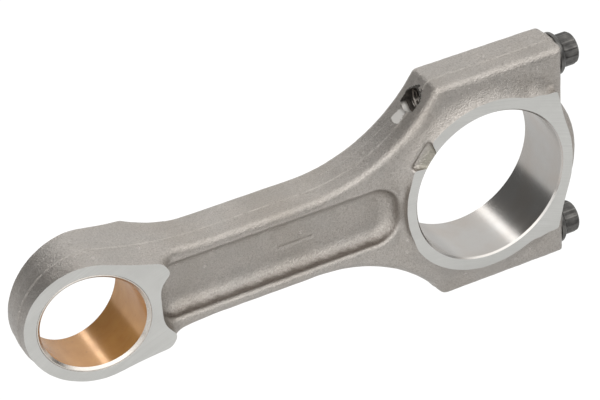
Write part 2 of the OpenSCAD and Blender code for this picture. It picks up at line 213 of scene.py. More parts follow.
def surface_net(h=0.4):
    """A quad mesh of the forging, its points then moved onto the surface."""
    xs = np.arange(-161.4, 37.0, h)
    ys = np.arange(-18.0, 18.0 + h, h)
    zs = np.arange(-42.0, 42.0 + h, h)
    X, Z = np.meshgrid(xs, zs, indexing="ij")
    flat = (OUT.at(X, Z), EAR.at(X, Z), FLR.at(X, Z))
    F = np.empty((len(xs), len(ys), len(zs)), np.float32)
    for j, y in enumerate(ys):
        F[:, j, :] = forging(X, np.full_like(X, y), Z, flat)
    S = F < 0
    nx, ny, nz = F.shape
    total = np.zeros((nx - 1, ny - 1, nz - 1, 3), np.float32)
    count = np.zeros((nx - 1, ny - 1, nz - 1), np.float32)
    for ax in range(3):
        lo = [slice(0, -1) if k == ax else slice(None) for k in range(3)]
        hi = [slice(1, None) if k == ax else slice(None) for k in range(3)]
        A, B = F[tuple(lo)], F[tuple(hi)]
        cross = S[tuple(lo)] != S[tuple(hi)]
        idx = np.argwhere(cross)
        a, b = A[cross], B[cross]
        t = a / (a - b)
        p = idx.astype(np.float32)
        p[:, ax] += t
        others = [k for k in range(3) if k != ax]
        for da in (0, 1):
            for db in (0, 1):
                c = idx.copy()
                c[:, others[0]] -= da
                c[:, others[1]] -= db
                ok = np.all(c >= 0, 1) & (c[:, 0] < nx - 1) & (c[:, 1] < ny - 1) & (c[:, 2] < nz - 1)
                ci = tuple(c[ok].T)
                np.add.at(total, ci, p[ok])
                np.add.at(count, ci, 1)
    live = count > 0
    ids = np.full(count.shape, -1, np.int64)
    ids[live] = np.arange(live.sum())
    v = total[live] / count[live][:, None]
    v = np.stack([xs[0] + v[:, 0] * h, ys[0] + v[:, 1] * h, zs[0] + v[:, 2] * h], 1).astype(float)
    quads = []
    for ax in range(3):
        lo = [slice(0, -1) if k == ax else slice(None) for k in range(3)]
        hi = [slice(1, None) if k == ax else slice(None) for k in range(3)]
        cross = S[tuple(lo)] != S[tuple(hi)]
        idx = np.argwhere(cross)
        first = S[tuple(lo)][cross]
        o1, o2 = (ax + 1) % 3, (ax + 2) % 3
        ring = []
        for d1, d2 in ((1, 1), (0, 1), (0, 0), (1, 0)):
            c = idx.copy()
            c[:, o1] -= d1
            c[:, o2] -= d2
            ring.append(ids[tuple(c.T)])
        q = np.stack(ring, 1)
        q[~first] = q[~first][:, ::-1]
        quads.append(q)
    quads = np.concatenate(quads)

    def grad(p):
        e = 0.02
        f = forging(*p.T)
        g = np.stack([forging(p[:, 0] + e, p[:, 1], p[:, 2]) - f, forging(p[:, 0], p[:, 1] + e, p[:, 2]) - f,
                      forging(p[:, 0], p[:, 1], p[:, 2] + e) - f], 1) / e
        return f, g

    edges = np.unique(np.sort(np.concatenate([quads[:, [0, 1]], quads[:, [1, 2]], quads[:, [2, 3]], quads[:, [3, 0]]]), 1), axis=0)
    deg = np.bincount(edges.ravel(), minlength=len(v))[:, None]
    def middle(p):
        s = np.zeros_like(p)
        for c in range(3):
            s[:, c] = np.bincount(edges[:, 0], p[edges[:, 1], c], len(p)) + np.bincount(edges[:, 1], p[edges[:, 0], c], len(p))
        return s / deg - p

    for k in range(4):
        f, g = grad(v)
        n2 = np.maximum((g * g).sum(1), 0.25)
        v = v - np.clip(f / n2, -0.3, 0.3)[:, None] * g
        if k < 3:  # slide points along the surface towards their neighbours' middle
            d = middle(v)
            n = g / np.sqrt(n2)[:, None]
            v = v + 0.5 * (d - (d * n).sum(1)[:, None] * n)
    for _ in range(2):  # take out single proud points
        v = v + 0.4 * middle(v)
    return v, quads


def mesh_object(name, verts, faces, smooth=True):
    me = bpy.data.meshes.new(name)
    verts = np.asarray(verts, float) * MM
    if isinstance(faces, np.ndarray):
        n, k = faces.shape
        me.vertices.add(len(verts))
        me.vertices.foreach_set("co", verts.astype(np.float32).ravel())
        me.loops.add(n * k)
        me.loops.foreach_set("vertex_index", faces.astype(np.int32).ravel())
        me.polygons.add(n)
        me.polygons.foreach_set("loop_start", np.arange(0, n * k, k, dtype=np.int32))
        me.polygons.foreach_set("loop_total", np.full(n, k, np.int32))
        me.update(calc_edges=True)
    else:
        me.from_pydata([tuple(p) for p in verts], [], faces)
    me.validate()
    me.polygons.foreach_set("use_smooth", [smooth] * len(me.polygons))
    ob = bpy.data.objects.new(name, me)
    sc.collection.objects.link(ob)
    return ob


def lathe_mesh(profile, segs, to_world, closed=True):
    """Points and faces of a solid of revolution. profile is (radius, height) from one pole to the other."""
    v, f, rings = [], [], []
    for r, h in profile:
        if r < 1e-9:
            rings.append([len(v)])
            v.append(to_world(0, 0, h))
        else:
            rings.append(list(range(len(v), len(v) + segs)))
            for i in range(segs):
                t = 2 * math.pi * i / segs
                v.append(to_world(r * math.cos(t), r * math.sin(t), h))
    for a, b in zip(rings[:-1], rings[1:]):
        for i in range(segs):
            j = (i + 1) % segs
            if len(a) == 1:
                f.append([a[0], b[j], b[i]])
            elif len(b) == 1:
                f.append([a[i], a[j], b[0]])
            else:
                f.append([a[i], a[j], b[j], b[i]])
    return v, f


def along_y(cx):
    return lambda a, b, h: (cx + a, h, -b)


def along_x(z0):
    return lambda a, b, h: (h, a, b + z0)


def slanted(rows, segs):
    """Rings about the pin axis at (radius, side, height above the small end's tapered face on that side)."""
    v, f, rings = [], [], []
    for r, side, out_ in rows:
        k = 1 if r < 1e-9 else segs
        rings.append(list(range(len(v), len(v) + k)))
        for i in range(k):
            t = 2 * math.pi * i / segs
            x = -L + r * math.cos(t)
            v.append((x, side * (half(x) + out_), r * math.sin(t)))
    for a, b in zip(rings[:-1], rings[1:]):
        for i in range(segs):
            j = (i + 1) % segs
            if len(a) == 1:
                f.append([a[0], b[j], b[i]])
            elif len(b) == 1:
                f.append([a[i], a[j], b[0]])
            else:
                f.append([a[i], a[j], b[j], b[i]])
    return v, f, rings


def screw(rows, segs, axis_z):
    """A skin of rings along X about a bolt axis; each row is a list of (radius, x) round the ring."""
    v, f = [], []
    for row in rows:
        for i, (r, h) in enumerate(row):
            t = 2 * math.pi * i / segs
            v.append((h, r * math.cos(t), axis_z + r * math.sin(t)))
    for a in range(len(rows) - 1):
        for i in range(segs):
            j = (i + 1) % segs
            f.append([a * segs + i, a * segs + j, (a + 1) * segs + j, (a + 1) * segs + i])
    return v, f


def thread_rows(x0, x1, core, crest, segs, run_in, run_out, per=10):
    """Rings of a one millimetre pitch helix from x0 towards x1, its ridge fading over the run-in and run-out."""
    n = int(round(abs(x1 - x0) * per))
    way = 1 if x1 > x0 else -1
    rows = []
    for k in range(n + 1):
        x = x0 + way * k / per
        row = []
        fade = max(0.0, min(1.0, k / (run_in * per), (n - k) / (run_out * per)))
        for i in range(segs):
            ph = (x + i / segs) % 1.0
            tri = 1 - abs(2 * ph - 1)
            p = min(max((tri - 0.12) / 0.74, 0), 1)
            row.append((core + (crest - core) * p * fade, x))
        rows.append(row)
    return rows


def closed_screw(name, rows, segs, axis_z):
    """As screw, with its two end rings drawn to points."""
    import bmesh
    ob = mesh_object(name, *screw(rows, segs, axis_z))
    bm = bmesh.new()
    bm.from_mesh(ob.data)
    bmesh.ops.remove_doubles(bm, verts=bm.verts, dist=1e-7)
    bmesh.ops.recalc_face_normals(bm, faces=bm.faces)
    bm.to_mesh(ob.data)
    bm.free()
    return ob


def merged(parts):
    v, f = [], []
    for pv, pf in parts:
        f += [[i + len(v) for i in face] for face in pf]
        v += list(pv)
    return v, f


def prism_y(poly, y0, y1):
    """A prism over an (x, z) polygon given anticlockwise seen from -Y, between two y values."""
    n = len(poly)
    v = [(x, y0, z) for x, z in poly] + [(x, y1, z) for x, z in poly]
    f = [list(range(n)), [n + i for i in reversed(range(n))]] + [[i, n + i, n + (i + 1) % n, (i + 1) % n] for i in range(n)]
    return v, f


def prism_z(poly, z0, z1):
    n = len(poly)
    v = [(x, y, z0) for x, y in poly] + [(x, y, z1) for x, y in poly]
    f = [list(reversed(range(n))), [n + i for i in range(n)]] + [[i, (i + 1) % n, n + (i + 1) % n, n + i] for i in range(n)]
    return v, f


def outward(ob):
    """Turns a closed mesh's faces to point outwards."""
    import bmesh
    bm = bmesh.new()
    bm.from_mesh(ob.data)
    bmesh.ops.recalc_face_normals(bm, faces=bm.faces)
    bm.to_mesh(ob.data)
    bm.free()
    return ob


def cutter(name, parts):
    v, f = merged(parts)
    return outward(mesh_object(name, v, f, smooth=False))


def carve(ob, *cutters, op="DIFFERENCE"):
    for c in cutters:
        m = ob.modifiers.new("cut", "BOOLEAN")
        m.operation = op
        m.object = c
        m.solver = "MANIFOLD"
        bpy.context.view_layer.update()
        dg = bpy.context.evaluated_depsgraph_get()
        new = bpy.data.meshes.new_from_object(ob.evaluated_get(dg))
        if len(new.polygons) < 10:
            raise RuntimeError(f"cutting {ob.name} with {c.name} left nothing")
        ob.modifiers.remove(m)
        old = ob.data
        ob.data = new
        bpy.data.meshes.remove(old)
    return ob


def fracture_block(sign):
    """Everything on one side of the rough fracture plane at x = 0."""
    ys, zs = np.arange(-15.0, 15.01, 0.5), np.arange(-44.0, 44.01, 0.5)
    Y, Z = np.meshgrid(ys, zs, indexing="ij")
    rng = np.random.default_rng(7)
    n = 0.05 * rng.standard_normal(Y.shape)
    X = 0.10 * np.sin(Y * 0.9 + 1.1 * np.sin(Z * 0.31)) + 0.08 * np.sin(Z * 0.77 + Y * 0.4) + n
    X = np.clip(X, -0.25, 0.25)
    a, b = Y.shape
    v = np.concatenate([np.stack([X, Y, Z], -1).reshape(-1, 3), np.stack([np.full_like(X, 220.0 * sign), Y, Z], -1).reshape(-1, 3)])
    idx = np.arange(a * b).reshape(a, b)
    f = []
    for k in (0, a * b):
        q = np.stack([idx[:-1, :-1], idx[1:, :-1], idx[1:, 1:], idx[:-1, 1:]], -1).reshape(-1, 4) + k
        f += q.tolist()
    rim = list(idx[:, 0]) + list(idx[-1, 1:]) + list(idx[-2::-1, -1]) + list(idx[0, -2:0:-1])
    for i in range(len(rim)):
        p, q = int(rim[i]), int(rim[(i + 1) % len(rim)])
        f.append([p, q, q + a * b, p + a * b])
    return cutter("split", [(v.tolist(), f)])


print("forging mesh")
verts, quads = surface_net()
raw = mesh_object("rod_forging", verts, quads)
print("forging", len(verts), len(quads))

# ----------------------------------------------------------------- machining
planes = cutter("planes", [
    prism_y([(-58, -60), (70, -60), (70, 60), (-58, 60)], THRUST, 40),
    prism_y([(-58, -60), (70, -60), (70, 60), (-58, 60)], -40, -THRUST)])


def half(x):
    return HALF0 + TAPER * (x + L)


tapers = cutter("tapers", [
    prism_z([(-180, half(-180)), (-92, half(-92)), (-92, 60), (-180, 60)], -60, 60),
    prism_z([(-180, -half(-180)), (-180, -60), (-92, -60), (-92, -half(-92))], -60, 60)])
c = 0.55
bore = cutter("bore", [lathe_mesh([(0, -30), (BORE_R + c + 18.4, -30), (BORE_R + c, -THRUST), (BORE_R, -THRUST + c),
                                   (BORE_R, THRUST - c), (BORE_R + c, THRUST), (BORE_R + c + 18.4, 30), (0, 30)], 288, along_y(0))])
g = 0.12
sv, sf, _ = slanted([(0, -1, 6), (SEAT_R + g, -1, 6), (SEAT_R + g, -1, 0), (SEAT_R, -1, -g), (SEAT_R, 1, -g), (SEAT_R + g, 1, 0), (SEAT_R + g, 1, 6), (0, 1, 6)], 240)
seat = cutter("seat", [(sv, sf)])


def hole_cutter(name, s):
    """Tapping drill through to the flare, a tapped length, the bolt's own clearance, and the spot face on the cap."""
    n = 96
    rows = [[(r, x)] * n for r, x in ((0, -25.4), (DRILL_R, -23.0), (DRILL_R, -19.6))]
    rows += thread_rows(-19.5, -15.0, DRILL_R, BOLT_R, n, 1.5, 0.4)
    rows += [[(r, x)] * n for r, x in ((BOLT_R + 0.05, -14.7), (BOLT_R + 0.05, -1.1), (BOLT_R + 1.1, -0.05), (CAP_HOLE, -0.02), (CAP_HOLE, SEAT_X - 0.4), (CAP_HOLE + 0.4, SEAT_X), (7.9, SEAT_X), (7.9, 60), (0, 60))]
    return closed_screw(name, rows, n, s * BOLT_Z)


holes = [hole_cutter("hole_upper", 1), hole_cutter("hole_lower", -1)]
carve(raw, planes, tapers, bore, seat, *holes)
body = raw
cap = bpy.data.objects.new("cap_forging", raw.data.copy())
sc.collection.objects.link(cap)
high, low = fracture_block(1), fracture_block(-1)
carve(body, high)
carve(cap, low)
for o in (planes, tapers, bore, seat, *holes, high, low):
    bpy.data.objects.remove(o)
print("machined", len(body.data.polygons), len(cap.data.polygons))


# ----------------------------------------------------------------- materials
def nodes_of(mat):
    mat.use_nodes = True
    return mat.node_tree.nodes, mat.node_tree.links


class Mat:
    """A small helper around a Principled material in object space, with coordinates in millimetres."""
    def __init__(self, name):
        self.m = bpy.data.materials.new(name)
        self.n, self.l = nodes_of(self.m)
        self.b = self.n["Principled BSDF"]
        self.tc = self.n.new("ShaderNodeTexCoord")
        self.mm = self.n.new("ShaderNodeVectorMath")
        self.mm.operation = "SCALE"
        self.mm.inputs["Scale"].default_value = 1000.0
        self.l.new(self.tc.outputs["Object"], self.mm.inputs[0])
        self.co = self.mm.outputs[0]

    def link(self, a, b):
        self.l.new(a, b)

    def scaled(self, s):
        v = self.n.new("ShaderNodeVectorMath")
        v.operation = "MULTIPLY"
        v.inputs[1].default_value = s
        self.l.new(self.co, v.inputs[0])
        return v.outputs[0]

    def noise(self, size, detail=3.0, rough=0.55, co=None, distort=0.0):
        t = self.n.new("ShaderNodeTexNoise")
        t.inputs["Scale"].default_value = 1.0 / size
        t.inputs["Detail"].default_value = detail
        t.inputs["Roughness"].default_value = rough
        t.inputs["Distortion"].default_value = distort
        self.l.new(co or self.co, t.inputs["Vector"])
        return t.outputs["Fac"]

    def voronoi(self, size, co=None, feature="F1"):
        t = self.n.new("ShaderNodeTexVoronoi")
        t.feature = feature
        t.inputs["Scale"].default_value = 1.0 / size
        self.l.new(co or self.co, t.inputs["Vector"])
        return t.outputs["Distance"]

    def math(self, op, a, b=None, c=None, clamp=False):
        t = self.n.new("ShaderNodeMath")
        t.operation = op
        t.use_clamp = clamp
        for i, x in enumerate((a, b, c)):
            if x is None:
                continue
            if isinstance(x, (int, float)):
                t.inputs[i].default_value = x
            else:
                self.l.new(x, t.inputs[i])
        return t.outputs[0]

    def remap(self, x, a, b, c, d):
        t = self.n.new("ShaderNodeMapRange")
        for i, v in enumerate((a, b, c, d)):
            t.inputs[i + 1].default_value = v
        self.l.new(x, t.inputs[0])
        return t.outputs[0]

    def mix(self, fac, a, b):
        t = self.n.new("ShaderNodeMix")
        t.data_type = "RGBA"
        for s, x in ((t.inputs["Factor"], fac), (t.inputs[6], a), (t.inputs[7], b)):
            if isinstance(x, (int, float)):
                s.default_value = x
            elif isinstance(x, tuple):
                s.default_value = (*x, 1.0)
            else:
                self.l.new(x, s)
        return t.outputs[2]

    def bump(self, height, mm, strength=1.0, normal=None):
        t = self.n.new("ShaderNodeBump")
        t.inputs["Strength"].default_value = strength
        t.inputs["Distance"].default_value = mm * MM
        self.l.new(height, t.inputs["Height"])
        if normal is not None:
            self.l.new(normal, t.inputs["Normal"])
        return t.outputs[0]

    def geometry(self, name):
        t = self.n.new("ShaderNodeNewGeometry")
        return t.outputs[name]

    def finish(self, color=None, rough=None, normal=None, metallic=1.0):
        for key, x in (("Base Color", color), ("Roughness", rough), ("Normal", normal), ("Metallic", metallic)):
            if x is None:
                continue
            if isinstance(x, (int, float)):
                self.b.inputs[key].default_value = x
            elif isinstance(x, tuple):
                self.b.inputs[key].default_value = (*x, 1.0)
            else:
                self.l.new(x, self.b.inputs[key])
        return self.m


def forged_skin():
    m = Mat("forged_skin")
    grain = m.noise(0.52, 4.0, 0.62)
    pits = m.voronoi(0.8)
    fine = m.noise(0.26, 2.0, 0.6)
    patch = m.noise(9.0, 3.0, 0.5, distort=0.6)
    stain = m.noise(28.0, 2.0, 0.5)
    sep = m.n.new("ShaderNodeSeparateXYZ")
    m.link(m.co, sep.inputs[0])
    split = m.remap(m.math("ABSOLUTE", sep.outputs["X"]), 0.5, 1.2, 0.0, 1.0)  # the fracture line stays a hairline
    # edge: lighter colour and lower roughness on convex edges; the colour is partly edge wear and partly a painted
    # highlight along the ridges
    edge = m.math("MULTIPLY", split, m.remap(m.geometry("Pointiness"), 0.508, 0.56, 0.0, 1.0))
    # hollow: painted shade, concave creases and corners darkened as if in shadow
    hollow = m.math("MULTIPLY", split, m.remap(m.geometry("Pointiness"), 0.43, 0.49, 1.0, 0.0))
    base = m.mix(m.remap(grain, 0.32, 0.68, 0.0, 1.0), (0.375, 0.343, 0.312), (0.610, 0.573, 0.535))
    base = m.mix(m.remap(patch, 0.35, 0.7, 0.0, 0.35), base, (0.40, 0.385, 0.365))
    base = m.mix(m.remap(stain, 0.45, 0.7, 0.0, 0.3), base, (0.33, 0.285, 0.235))
    # partly edge wear, partly painted highlight: convex edges lightened
    base = m.mix(m.math("MULTIPLY", edge, 0.28), base, (0.74, 0.70, 0.655))
    # painted shade in the concave creases
    base = m.mix(m.math("MULTIPLY", hollow, 0.35), base, (0.20, 0.17, 0.14))
    # painted shade: the steep walls of the pocket are darkened to stand for the shadow in its concave crease
    sn = m.n.new("ShaderNodeSeparateXYZ")
    m.link(m.geometry("True Normal"), sn.inputs[0])
    steep = m.remap(m.math("ABSOLUTE", sn.outputs["Y"]), 0.50, 0.80, 1.0, 0.0)
    inside = m.math("MULTIPLY", m.remap(m.math("ABSOLUTE", sep.outputs["Z"]), 11.6, 12.4, 1.0, 0.0), m.remap(sep.outputs["X"], -29.5, -31.0, 0.0, 1.0))
    inside = m.math("MULTIPLY", inside, m.remap(sep.outputs["X"], -126.0, -122.0, 0.0, 1.0))
    inside = m.math("MULTIPLY", inside, m.remap(m.math("ABSOLUTE", sep.outputs["Y"]), 7.2, 7.9, 1.0, 0.0))
    inside = m.math("MULTIPLY", inside, m.remap(m.math("ABSOLUTE", sep.outputs["Z"]), 7.0, 9.6, 0.25, 1.0))
    base = m.mix(m.math("MULTIPLY", m.math("MULTIPLY", steep, inside), 0.85), base, (0.10, 0.08, 0.065))
    # oil stain on the low spot across the front ring
    cu, su = math.cos(NOTCH), math.sin(NOTCH)
    u = m.math("SUBTRACT", m.math("ADD", m.math("MULTIPLY", sep.outputs["X"], cu), m.math("MULTIPLY", sep.outputs["Z"], su)), BORE_R)
    v = m.math("ABSOLUTE", m.math("SUBTRACT", m.math("MULTIPLY", sep.outputs["Z"], cu), m.math("MULTIPLY", sep.outputs["X"], su)))
    low_spot = m.math("MULTIPLY", m.remap(u, 3.6, 1.6, 0.0, 1.0), m.remap(v, 5.0, 3.6, 0.0, 1.0))
    low_spot = m.math("MULTIPLY", low_spot, m.remap(sep.outputs["Y"], -8.0, -9.0, 0.0, 1.0))
    base = m.mix(m.math("MULTIPLY", low_spot, 0.75), base, (0.33, 0.315, 0.26))
    # painted highlight: a bright, broken line along the trimmed flash land's edge, on the front side only
    trim_highlight = m.remap(m.math("ABSOLUTE", m.math("ADD", sep.outputs["Y"], LAND + 0.02)), 0.10, 0.26, 1.0, 0.0)
    trim_highlight = m.math("MULTIPLY", trim_highlight, m.remap(m.noise(4.5, 3.0, 0.6), 0.40, 0.62, 0.0, 0.30))
    base = m.mix(trim_highlight, base, (0.80, 0.76, 0.70))
    # the deburred rim where the bolt holes break out on the flare
    dz = m.math("SUBTRACT", m.math("ABSOLUTE", sep.outputs["Z"]), BOLT_Z)
    far_ = m.math("SQRT", m.math("ADD", m.math("MULTIPLY", dz, dz), m.math("MULTIPLY", sep.outputs["Y"], sep.outputs["Y"])))
    rim = m.math("MULTIPLY", m.remap(far_, DRILL_R + 0.28, DRILL_R + 0.12, 0.0, 1.0), m.remap(sep.outputs["X"], -17.5, -18.5, 0.0, 1.0))
    rim = m.math("MULTIPLY", rim, m.math("MULTIPLY", m.remap(far_, DRILL_R - 0.12, DRILL_R - 0.02, 0.0, 1.0), m.remap(sep.outputs["X"], -20.9, -20.5, 0.0, 1.0)))
    base = m.mix(m.math("MULTIPLY", rim, 0.8), base, (0.66, 0.62, 0.56))
    h = m.math("ADD", m.math("MULTIPLY", grain, 1.0), m.math("MULTIPLY", fine, 0.45))
    h = m.math("ADD", h, m.math("MULTIPLY", m.math("MINIMUM", pits, 0.5), 0.7))
    n = m.bump(h, 0.20, 0.85)
    rough = m.math("SUBTRACT", m.remap(grain, 0.3, 0.7, 0.37, 0.26), m.math("MULTIPLY", edge, 0.08))
    return m.finish(base, rough, n, 0.92)


def ground_face():
    """Flat machined faces: fine parallel cutter lines that sweep across in shallow arcs."""
    m = Mat("ground_face")
    sep = m.n.new("ShaderNodeSeparateXYZ")
    m.link(m.co, sep.inputs[0])
    # distance from a cutter centre far below the part gives long shallow arcs
    dx = m.math("ADD", sep.outputs["X"], 40.0)
    dz = m.math("ADD", sep.outputs["Z"], 160.0)
    r = m.math("SQRT", m.math("ADD", m.math("MULTIPLY", dx, dx), m.math("MULTIPLY", dz, dz)))
    comb = m.n.new("ShaderNodeCombineXYZ")
    m.link(r, comb.inputs[0])
    ang = m.math("ARCTAN2", dz, dx)
    m.link(m.math("MULTIPLY", ang, 1.2), comb.inputs[1])
    lines = m.noise(0.22, 2.0, 0.6, co=comb.outputs[0])
    wide = m.noise(1.6, 2.0, 0.5, co=comb.outputs[0])
    patch = m.noise(7.0, 3.0, 0.55)
    base = m.mix(m.remap(lines, 0.3, 0.7, 0.0, 1.0), (0.575, 0.572, 0.55), (0.645, 0.642, 0.62))
    base = m.mix(m.remap(patch, 0.4, 0.75, 0.0, 0.35), base, (0.53, 0.525, 0.505))
    h = m.math("ADD", lines, m.math("MULTIPLY", wide, 0.7))
    n = m.bump(h, 0.02, 0.5)
    return m.finish(base, m.remap(wide, 0.3, 0.7, 0.30, 0.40), n, 0.95)


def honed_bore():
    """Honed wall: very fine crossed scratches and a soft sheen, slightly warm where it has been handled."""
    m = Mat("honed_bore")
    sep = m.n.new("ShaderNodeSeparateXYZ")
    m.link(m.co, sep.inputs[0])
    ang = m.math("MULTIPLY", m.math("ARCTAN2", sep.outputs["Z"], sep.outputs["X"]), 26.8)
    a = m.n.new("ShaderNodeCombineXYZ")
    m.link(m.math("ADD", ang, m.math("MULTIPLY", sep.outputs["Y"], 0.6)), a.inputs[0])
    m.link(m.math("MULTIPLY", ang, 0.03), a.inputs[1])
    b = m.n.new("ShaderNodeCombineXYZ")
    m.link(m.math("SUBTRACT", ang, m.math("MULTIPLY", sep.outputs["Y"], 0.6)), b.inputs[0])
    m.link(m.math("MULTIPLY", ang, 0.03), b.inputs[1])
    turn = m.n.new("ShaderNodeCombineXYZ")
    m.link(sep.outputs["Y"], turn.inputs[0])
    m.link(m.math("MULTIPLY", ang, 0.02), turn.inputs[1])
    h1, h2 = m.noise(0.5, 2.0, 0.6, co=a.outputs[0]), m.noise(0.5, 2.0, 0.6, co=b.outputs[0])
    rings = m.noise(0.35, 2.0, 0.6, co=turn.outputs[0])
    h = m.math("ADD", m.math("ADD", h1, h2), rings)
    n = m.bump(h, 0.004, 0.4)
    patch = m.noise(11.0, 2.0, 0.5)
    base = m.mix(m.remap(patch, 0.38, 0.7, 0.0, 1.0), (0.56, 0.545, 0.525), (0.54, 0.505, 0.47))
    return m.finish(base, m.remap(rings, 0.3, 0.7, 0.20, 0.27), n, 0.98)


def drilled():
    m = Mat("drilled_hole")
    rings = m.noise(0.5, 2.0, 0.6, co=m.scaled((1.0, 0.05, 0.05)))
    base = m.mix(rings, (0.22, 0.20, 0.18), (0.42, 0.395, 0.37))
    sep = m.n.new("ShaderNodeSeparateXYZ")
    m.link(m.co, sep.inputs[0])
    # painted highlight: the lower end of the drilled wall, where it breaks out on the flare, is made near white,
    # duller and less metallic
    lip_highlight = m.math("MULTIPLY", m.remap(sep.outputs["X"], -20.9, -22.0, 0.0, 1.0), m.remap(m.math("ABSOLUTE", sep.outputs["Z"]), 31.6, 30.4, 0.0, 1.0))
    base = m.mix(lip_highlight, base, (0.70, 0.68, 0.65))
    return m.finish(base, m.remap(lip_highlight, 0.0, 1.0, 0.26, 0.5), m.bump(rings, 0.03, 0.5), m.remap(lip_highlight, 0.0, 1.0, 0.95, 0.25))


def fracture():
    m = Mat("fracture_surface")
    g = m.noise(0.45, 4.0, 0.7)
    v = m.voronoi(0.6)
    base = m.mix(m.remap(g, 0.3, 0.7, 0.0, 1.0), (0.30, 0.30, 0.30), (0.56, 0.56, 0.55))
    return m.finish(base, m.remap(v, 0.0, 0.8, 0.35, 0.65), m.bump(m.math("ADD", g, v), 0.25, 0.9), 0.9)


def bronze():
    m = Mat("bronze")
    sep = m.n.new("ShaderNodeSeparateXYZ")
    m.link(m.co, sep.inputs[0])
    turn = m.n.new("ShaderNodeCombineXYZ")
    m.link(sep.outputs["Y"], turn.inputs[0])
    m.link(m.math("MULTIPLY", m.math("ARCTAN2", sep.outputs["Z"], m.math("ADD", sep.outputs["X"], L)), 0.5), turn.inputs[1])
    rings = m.noise(0.3, 2.0, 0.6, co=turn.outputs[0])
    patch = m.noise(6.0, 3.0, 0.55)
    base = m.mix(m.remap(patch, 0.35, 0.7, 0.0, 1.0), (0.60, 0.30, 0.075), (0.51, 0.24, 0.055))
    base = m.mix(m.remap(rings, 0.35, 0.7, 0.0, 0.15), base, (0.62, 0.37, 0.15))
    spots = m.voronoi(4.2)
    base = m.mix(m.remap(spots, 0.0, 0.11, 0.55, 0.0), base, (0.22, 0.12, 0.05))
    m.b.inputs["IOR"].default_value = 2.3
    return m.finish(base, m.remap(patch, 0.3, 0.7, 0.19, 0.27), m.bump(rings, 0.004, 0.4), 0.36)


def cut_bronze():
    """Freshly machined edges of the bush, paler than its bore."""
    m = Mat("bronze_machined")
    g = m.noise(0.5, 3.0, 0.6)
    base = m.mix(m.remap(g, 0.3, 0.7, 0.0, 1.0), (0.585, 0.545, 0.50), (0.68, 0.645, 0.60))
    return m.finish(base, m.remap(g, 0.3, 0.7, 0.22, 0.28), m.bump(g, 0.002, 0.3), 0.9)


def black_oxide():
    m = Mat("black_oxide")
    g = m.noise(0.6, 4.0, 0.6)
    patch = m.noise(2.6, 2.0, 0.5)
    edge = m.remap(m.geometry("Pointiness"), 0.51, 0.60, 0.0, 1.0)
    base = m.mix(m.remap(patch, 0.35, 0.7, 0.0, 1.0), (0.085, 0.083, 0.080), (0.165, 0.160, 0.152))
    base = m.mix(m.math("MULTIPLY", edge, 0.5), base, (0.34, 0.33, 0.315))
    return m.finish(base, m.remap(g, 0.3, 0.7, 0.28, 0.42), m.bump(g, 0.03, 0.5), 0.85)


M_FORGED, M_GROUND, M_BORE, M_HOLE, M_BREAK = forged_skin(), ground_face(), honed_bore(), drilled(), fracture()
M_BRONZE, M_CUT_BRONZE, M_BLACK = bronze(), cut_bronze(), black_oxide()


def classify(ob):
    """Gives each face the finish of the operation that made it."""
    me = ob.data
    me.materials.clear()
    for mat in (M_FORGED, M_GROUND, M_BORE, M_HOLE, M_BREAK):
        me.materials.append(mat)
    n = len(me.polygons)
    c = np.empty(n * 3)
    nn = np.empty(n * 3)
    me.polygons.foreach_get("center", c)
    me.polygons.foreach_get("normal", nn)
    x, y, z = (c.reshape(-1, 3) / MM).T
    nx, ny, nz = nn.reshape(-1, 3).T
    a = np.abs(y)
    idx = np.zeros(n, np.int32)
    idx[(np.abs(x) < 0.4) & (np.abs(nx) > 0.45) & (a < THRUST + 0.1)] = 4
    idx[(np.abs(a - THRUST) < 0.004) & (np.abs(ny) > 0.999)] = 1
    idx[(x < -105) & (np.abs(a - half(x)) < 0.006) & (np.abs(ny) > 0.98)] = 1
    r = np.hypot(x, z)
    idx[(np.abs(r - BORE_R) < 0.03) & (a < THRUST)] = 2
    idx[(np.abs((r - BORE_R) - (a - THRUST + 0.55)) < 0.03) & (a > THRUST - 0.56) & (r < BORE_R + 0.6)] = 2
    idx[np.abs(np.hypot(x + L, z) - SEAT_R) < 0.02] = 3
    hb = np.hypot(y, np.abs(z) - BOLT_Z)
    radial = np.abs(y * ny + (np.abs(z) - BOLT_Z) * nz * np.sign(z)) / np.maximum(hb, 1e-6)
    idx[(hb < 5.3) & (radial > 0.6) & (x > -40)] = 3
    idx[(hb < BOLT_R + 0.03) & (x > -21) & (x < -12)] = 3
    idx[(np.abs(x - SEAT_X) < 0.006) & (nx > 0.99)] = 1
    me.polygons.foreach_set("material_index", idx)
    me.polygons.foreach_set("use_smooth", idx != 1)
    me.set_sharp_from_angle(angle=math.radians(32))
    # the border between two finishes is a crisp edge
    total = np.empty(n, np.int32)
    me.polygons.foreach_get("loop_total", total)
    edge = np.empty(len(me.loops), np.int32)
    me.loops.foreach_get("edge_index", edge)
    owner = np.repeat(idx, total)
    low = np.full(len(me.edges), 99)
    high_ = np.full(len(me.edges), -1)
    np.minimum.at(low, edge, owner)
    np.maximum.at(high_, edge, owner)
    sharp = np.zeros(len(me.edges), bool)
    att = me.attributes.get("sharp_edge")
    if att:
        att.data.foreach_get("value", sharp)
    else:
        att = me.attributes.new("sharp_edge", "BOOLEAN", "EDGE")
    att.data.foreach_set("value", sharp | (low != high_))
    me.update()
    return np.bincount(idx, minlength=5)


print("faces by finish", classify(body), classify(cap))

